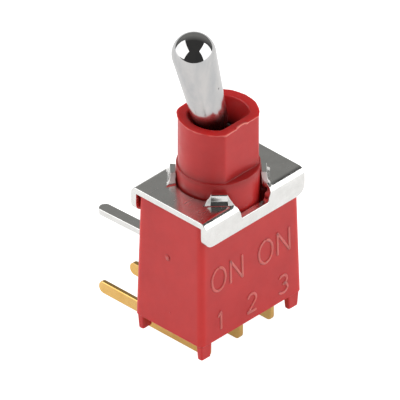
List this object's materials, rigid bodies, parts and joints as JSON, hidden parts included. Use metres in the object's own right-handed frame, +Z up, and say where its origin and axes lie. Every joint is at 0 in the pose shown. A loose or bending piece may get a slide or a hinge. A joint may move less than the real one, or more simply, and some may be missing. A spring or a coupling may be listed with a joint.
{
  "type": "toggle switch",
  "caption": "Sealed sub-miniature two-way toggle switch with a flatted bushing, sheet-metal support bracket and right-angle blade terminals.",
  "frame": {"origin": "on the bushing axis, level with the lower edges of the three terminals, which it stands on", "axes": "+Z up along the bushing, +Y towards the board, +X the way the lever switches to"},
  "size_m": [0.0082, 0.0099, 0.0209],
  "materials": {
    "red_nylon": "satin moulded",
    "tin_plate": "bright tin plated sheet",
    "chrome_plate": "polished chrome plate",
    "gold_plate": "gold plated, satin",
    "steel": "drawn steel",
    "seal_rubber": "smooth",
    "black_nylon": "moulded",
    "base_plastic": "moulded",
    "epoxy": "poured, glossy"
  },
  "bodies": {
    "switch_body": {"housing": "red_nylon", "support_bracket": "tin_plate", "lever_seal_ring": "seal_rubber", "base_block": "base_plastic", "epoxy_seal": "epoxy", "terminal_left": "gold_plate", "common_terminal": "gold_plate", "terminal_right": "gold_plate", "fixed_contact_left": "gold_plate", "fixed_contact_right": "gold_plate"},
    "lever": {"toggle_lever": "chrome_plate", "pivot_pin": "steel", "plunger_spring": "steel"},
    "plunger": {"plunger": "black_nylon"},
    "rocker": {"rocker_contact": "gold_plate", "moving_contact_left": "gold_plate", "moving_contact_right": "gold_plate"}
  },
  "joints": [
    {"name": "lever_pivot", "type": "hinge", "parent": "switch_body", "child": "lever", "pos_m": [0, 0, 0.01212], "axis": [0, 1, 0], "range_deg": [0, 29.6]},
    {"name": "plunger_slide", "type": "slide", "parent": "lever", "child": "plunger", "axis": [-0.2554, 0, 0.9668], "range_m": [0, 0.0003], "stiffness_N_per_m": 500, "springref_m": -0.0006, "deforming": ["plunger_spring"]},
    {"name": "rocker_pivot", "type": "hinge", "parent": "switch_body", "child": "rocker", "pos_m": [0, 0, 0.00562], "axis": [0, 1, 0], "range_deg": [-16, 0]}
  ],
  "couplings": [
    {"joint": "rocker_pivot", "follows": "lever_pivot", "ratio": -0.54054}
  ]
}
